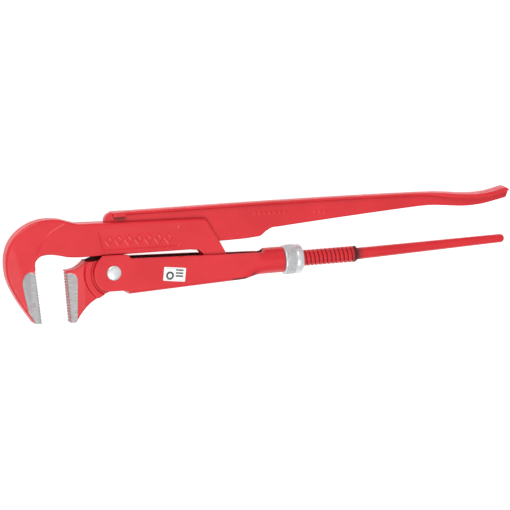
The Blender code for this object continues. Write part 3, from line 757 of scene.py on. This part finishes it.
def lower_jaw_outline():
    """Side view of the forging: tip, curved belly, hub round the rivet and hollow top."""
    top = smooth([(-38.4, 6.2), (-34.0, 6.3), (-29.5, 7.4), (-25.0, 10.0), (-20.6, 13.6), (-16.0, 15.3)])
    belly = smooth([
        (-31.4, -36.4), (-25.7, -27.8), (-19.2, -21.5), (-12.0, -17.3), (-5.0, -14.1), (2.0, -12.4),
    ])
    hub = arc(JAW_PIVOT, 13.2, 45.0, 100.0, 6)
    return [(-36.1, -36.4), *belly, (13.4, -9.4), (14.0, 4.0), *hub, (-8.0, 15.2), *reversed(top)]


def lower_jaw_half(x, away):
    """Half thickness: hub, raised band round it at a distance from the rivet, and tapering head."""
    near, far = BAND_INNER - 0.5, BAND_OUTER + 0.7
    raised = ease(away, near, near + 1.0) * ease(-away, -far, -far + 1.4)
    plain = HUB_HALF - (HUB_HALF - HEAD_HALF) * ease(away, BAND_INNER, BAND_OUTER)
    return plain + (BAND_HALF - plain) * raised - HEAD_TAPER * np.maximum(-BAND_OUTER - x, 0.0)


def lower_jaw_field():
    outline = outline_field(lower_jaw_outline())
    right = smooth([
        (-41.0, 3.5), (-36.0, 4.0), (-32.2, 3.2), (-29.9, 0.6), (-29.4, -5.0), (-29.8, -16.0),
        (-30.4, -30.0), (-31.2, -38.0),
    ])
    bare = outline_field([*right, (-42.5, -38.0), (-42.5, 3.5)])
    tip_line = line_field(JAW_TEETH[0], JAW_TEETH[1])
    teeth = tooth_field(tip_line, JAW_TEETH)

    def field(x, y, z):
        away = np.hypot(x - JAW_PIVOT[0], y - JAW_PIVOT[1])
        half = lower_jaw_half(x, away)
        half = half - GROUND_DEPTH * ease(-bare(x, y), -0.2, 0.2)
        shoulder = ease(y - 0.03 * x, 13.0, 13.5) * ease(x, -24.5, -22.5)
        half = half - (half - SHOULDER_HALF) * shoulder
        toothed = ease(-x, 32.0, 36.0) * ease(-y, -7.0, -3.0)
        solid = both(outline(x, y), np.abs(z) - half, 1.3 - 0.8 * toothed)
        solid = np.maximum(solid, np.where((x < -32.0) & (y < 5.6), teeth(x, y), -9.0))
        return both(solid, 4.3 - away, 0.2)

    return field, bare, tip_line


def build_lower_jaw():
    """The forging, with painted shade on the shoulder that works under the shank."""
    field, bare, tip_line = lower_jaw_field()
    points, faces = skin(field, (-40.0, -37.6, -10.6), (15.5, 17.0, 10.6), 0.32)
    x, y, z = points.T
    head_half = HEAD_HALF - HEAD_TAPER * np.maximum(-BAND_OUTER - x, 0.0) - GROUND_DEPTH
    # painted shade on the shoulder, in the gap under the shank
    marks = {
        "bare": bare_mark(bare, tip_line, head_half, points),
        "painted_shade": ease(x, -27.0, -22.0) * ease(y, 12.0, 13.0) * ease(-x, -1.0, 6.0),
    }
    make_piece("lower_jaw_forging", points, faces, MATERIALS["red_bare"], "lower_jaw",
               ("lower_jaw",), marks)


# ---------------------------------------------------------------- turned pieces

def turned(profile, sides):
    """Rings of points for a closed profile of (distance, radius) turned about the x axis."""
    angles = 2.0 * math.pi * np.arange(sides) / sides
    points = np.concatenate([
        np.stack([np.full(sides, x), radius * np.cos(angles), radius * np.sin(angles)], 1)
        for x, radius in profile
    ])
    faces = []
    for row in range(len(profile)):
        below = (row + 1) % len(profile)
        for side in range(sides):
            after = (side + 1) % sides
            faces.append((
                row * sides + side, row * sides + after, below * sides + after, below * sides + side,
            ))
    return points, faces


KNURL_SIDES = 464
KNURL_COUNT = 58
KNURL_START, KNURL_END = 145.3, 153.4
KNURL_DEPTH = 0.32


def build_nut():
    """The nut, turned from its profile, with two crossing sets of grooves cut into its knurled band."""
    knurled = np.linspace(KNURL_START, KNURL_END, 76)
    profile = [(NUT_START, NECK_RADIUS), (NUT_START, 11.3), (NUT_START + 0.25, 11.6)]
    profile += [(x, NUT_RADIUS) for x in knurled]
    profile += [
        (153.8, 11.6), (154.3, 11.6), (154.8, 11.85), (155.8, 11.95), (157.0, 11.95), (158.0, 11.8),
        (158.9, 11.4), (159.6, 10.8), (160.0, 10.1), (NUT_END, 9.3), (NUT_END, 8.2), (159.4, NUT_BORE),
        (NECK_START, NUT_BORE), (NECK_START, NECK_RADIUS - 0.4), (NECK_START + 0.4, NECK_RADIUS),
    ]
    points, faces = turned(profile, KNURL_SIDES)
    x, y, z = points.T
    angle = np.arctan2(z, y)
    radius = np.hypot(y, z)
    lead = 2.0 * math.pi * NUT_RADIUS / KNURL_COUNT
    round_the_nut = KNURL_COUNT * angle / (2.0 * math.pi)
    left = np.abs(np.mod(round_the_nut + x / lead, 1.0) - 0.5)
    right = np.abs(np.mod(round_the_nut - x / lead, 1.0) - 0.5)
    groove = np.maximum(ease(left, 0.26, 0.5), ease(right, 0.26, 0.5))
    inside = (radius > NUT_RADIUS - 0.01) & (x > KNURL_START - 0.01) & (x < KNURL_END + 0.01)
    fade = ease(x, KNURL_START, KNURL_START + 0.5) * ease(-x, -KNURL_END, -KNURL_END + 0.5)
    depth = KNURL_DEPTH * groove * fade + 0.2 * (1.0 - fade)
    scale = 1.0 - np.where(inside, depth / NUT_RADIUS, 0.0)
    points = np.stack([x, y * scale, z * scale], 1)
    # the knurl's grooves carry the painted shade mark
    nut = make_piece("adjusting_nut_knurled", points, faces, MATERIALS["zinc"], "adjusting_nut",
                     ("adjusting_nut",), {"painted_shade": np.where(inside, groove * fade, 0.0)})
    sharpen(nut, 40.0)


def sharpen(piece, angle):
    """Keeps the edges sharper than an angle in degrees crisp in the smooth shading."""
    piece.data.set_sharp_from_angle(angle=math.radians(angle))


def build_rivet():
    """Domed rivet heads on both cheeks; the profile runs along x and is then turned to z."""
    seat = HOUSING_HALF + 0.05
    head = [(seat, 4.0), (seat, 5.75), (seat + 0.12, 5.9), (seat + 0.4, 5.9), (seat + 0.5, 5.8)]
    head += [(seat + 0.5 + math.cos(a), 5.65 * math.sin(a)) for a in np.radians(range(84, 0, -6))]
    profile = head + [(seat + 1.5, 0.02)]
    tail = [(-x, r) for x, r in reversed(profile)]
    points, faces = turned(tail + profile, 96)
    x, y, z = points.T
    points = np.stack([y + JAW_PIVOT[0], z + JAW_PIVOT[1], x], 1)
    rivet = make_piece("jaw_rivet_domed", points, faces, MATERIALS["zinc"], "housing",
                       ("jaw_rivet",))
    sharpen(rivet, 50.0)


# ---------------------------------------------------------------- small CAD pieces and the sticker

def dress_cad_nodes():
    """The hidden fastenings keep their CAD shapes and take the finished materials."""
    for node, material in (
        ("leg_pivot_pin", "steel"), ("jaw_spring", "steel"), ("nut_retaining_ring", "steel"),
        ("spring_rivet", "zinc"),
    ):
        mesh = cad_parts[node].data
        mesh.materials.clear()
        mesh.materials.append(MATERIALS[material])


LABEL_CENTRE = (50.5, -3.0)
LABEL_TURN = math.radians(-7.2)
LABEL_WIDTH, LABEL_HEIGHT = 18.4, 11.2
LABEL_LOW, LABEL_TOP = HOUSING_HALF + 0.02, HOUSING_HALF + 0.3


def sticker_material():
    """White film printed with a plain ring and three bars, and a fine line along each long side."""
    tree = Tree("sticker_print")
    u, v = tree.mark("along"), tree.mark("across")
    ring_u = tree.math("POWER", tree.math("ADD", u, 3.8), 2.0)
    ring_v = tree.math("POWER", tree.math("ADD", v, 1.2), 2.0)
    ring = tree.band(tree.math("SQRT", tree.math("ADD", ring_u, ring_v)), 2.55, 0.8)
    bar_u = tree.band(u, 4.0, 3.1)
    bar_v = tree.band(tree.math("PINGPONG", tree.math("ADD", v, 1.2), 1.2), 0.0, 0.62)
    bar_box = tree.math("MULTIPLY", bar_u, tree.band(v, 1.2, 3.3))
    line = tree.math("MULTIPLY", tree.band(tree.math("ABSOLUTE", v), 4.6, 0.2), tree.band(u, 0.0, 7.4))
    ink = tree.math("MAXIMUM", ring, tree.math("MULTIPLY", bar_box, bar_v))
    ink = tree.math("MAXIMUM", ink, tree.math("MULTIPLY", line, 0.45))
    worn = tree.span(tree.noise(900.0, 3.0), 0.3, 0.5, 0.85, 1.0)
    film = tree.mix(tree.span(tree.noise(60.0), 0.4, 0.6), (0.74, 0.74, 0.735), (0.68, 0.68, 0.675))
    tree.bump(tree.noise(350.0), 0.02, 0.3)
    return tree.finish(tree.mix(tree.math("MULTIPLY", ink, worn), film, (0.03, 0.03, 0.035)), 0.4)


def build_label():
    """The sticker on the near cheek, a thin film with rounded corners and a raised edge."""
    corners = []
    for across, along, start in ((1, 1, 0.0), (1, -1, 90.0), (-1, -1, 180.0), (-1, 1, 270.0)):
        centre = (along * (0.5 * LABEL_WIDTH - 0.8), across * (0.5 * LABEL_HEIGHT - 0.8))
        corners += arc(centre, 0.8, start, start + 90.0, 4)
    flat = np.array(corners)
    sections = []
    for height, shrink in ((LABEL_LOW, 1.0), (LABEL_TOP - 0.08, 1.0), (LABEL_TOP, 0.988)):
        sections.append(np.column_stack([flat * shrink, np.full(len(flat), height)]))
    points, faces = rings(sections)
    turn = Matrix.Rotation(LABEL_TURN, 2)
    placed = [(*(turn @ Vector((u, v)) + Vector(LABEL_CENTRE)), height) for u, v, height in points]
    label = make_piece("label_film", placed, faces, sticker_material(), "housing",
                       ("label",), {"along": points[:, 0], "across": points[:, 1]})
    sharpen(label, 35.0)


# ---------------------------------------------------------------- floor, light and camera

FLOOR_HALF = 60.0


def build_floor():
    """A white table that glows a little, as one lit from below does."""
    mesh = bpy.data.meshes.new("floor")
    half = FLOOR_HALF
    corners = [(-half, -half, 0), (half, -half, 0), (half, half, 0), (-half, half, 0)]
    mesh.from_pydata(corners, [], [(0, 1, 2, 3)])
    tree = Tree("pale_floor")
    tree.shader.inputs["Emission Color"].default_value = (1.0, 1.0, 1.0, 1.0)
    tree.shader.inputs["Emission Strength"].default_value = 0.93
    shade = tree.mix(tree.noise(2.0), (0.36, 0.36, 0.36), (0.34, 0.34, 0.34))
    mesh.materials.append(tree.finish(shade, 0.9))
    floor = bpy.data.objects.new("floor", mesh)
    bpy.context.scene.collection.objects.link(floor)


def add_light(name, direction, distance, size, power):
    """A round soft lamp of a size and power, at a distance in metres, shining on the middle of the tool."""
    data = bpy.data.lights.new(name, "AREA")
    data.shape = "DISK"
    data.size = size
    data.energy = power
    lamp = bpy.data.objects.new(name, data)
    away = Vector(direction).normalized()
    lamp.location = away * distance
    lamp.rotation_mode = "QUATERNION"
    lamp.rotation_quaternion = away.to_track_quat("Z", "Y")
    bpy.context.scene.collection.objects.link(lamp)


def build_light():
    """Soft white surroundings, a key light behind the tool, a fill in front of it and a faint one above."""
    world = bpy.data.worlds.new("studio")
    world.use_nodes = True
    background = world.node_tree.nodes["Background"]
    background.inputs["Color"].default_value = (1.0, 1.0, 1.0, 1.0)
    background.inputs["Strength"].default_value = 0.7
    bpy.context.scene.world = world
    bpy.context.scene.view_settings.view_transform = "Standard"
    add_light("key", (-0.5, 1.0, 0.9), 1.5, 0.8, 9.0)
    add_light("fill", (-0.25, -0.5, 1.0), 1.5, 0.9, 11.0)
    add_light("sheen", (0.2, -0.1, 1.0), 1.1, 0.6, 0.5)


CAMERA_TURN = math.radians(16.5)
CAMERA_LIFT = math.radians(8.5)
CAMERA_ROLL = math.radians(2.2)
CAMERA_DISTANCE = 12.0
FIELD_WIDTH = 0.4096


def build_camera():
    """A distant camera with a long lens, turned, lifted and rolled to the photograph's viewing angle."""
    right = Vector((math.cos(CAMERA_TURN), 0.0, math.sin(CAMERA_TURN)))
    back = Vector((
        -math.sin(CAMERA_TURN) * math.cos(CAMERA_LIFT),
        math.sin(CAMERA_LIFT),
        math.cos(CAMERA_TURN) * math.cos(CAMERA_LIFT),
    ))
    up = back.cross(right)
    x = right * math.cos(CAMERA_ROLL) - up * math.sin(CAMERA_ROLL)
    y = right * math.sin(CAMERA_ROLL) + up * math.cos(CAMERA_ROLL)
    centre = TOOL_ORIGIN + (x * 116.03 + y * 15.16) * MM
    data = bpy.data.cameras.new("camera")
    data.sensor_width = 36.0
    data.lens = data.sensor_width * CAMERA_DISTANCE / FIELD_WIDTH
    data.clip_end = 100.0
    camera = bpy.data.objects.new("camera", data)
    matrix = Matrix((x, y, back)).transposed().to_4x4()
    matrix.translation = centre + back * CAMERA_DISTANCE
    camera.matrix_world = matrix
    bpy.context.scene.collection.objects.link(camera)
    bpy.context.scene.camera = camera


build_hook()
build_upper_handle()
build_threaded_leg()
build_housing()
build_lower_jaw()
build_nut()
build_rivet()
build_label()
dress_cad_nodes()
build_floor()
build_light()
build_camera()
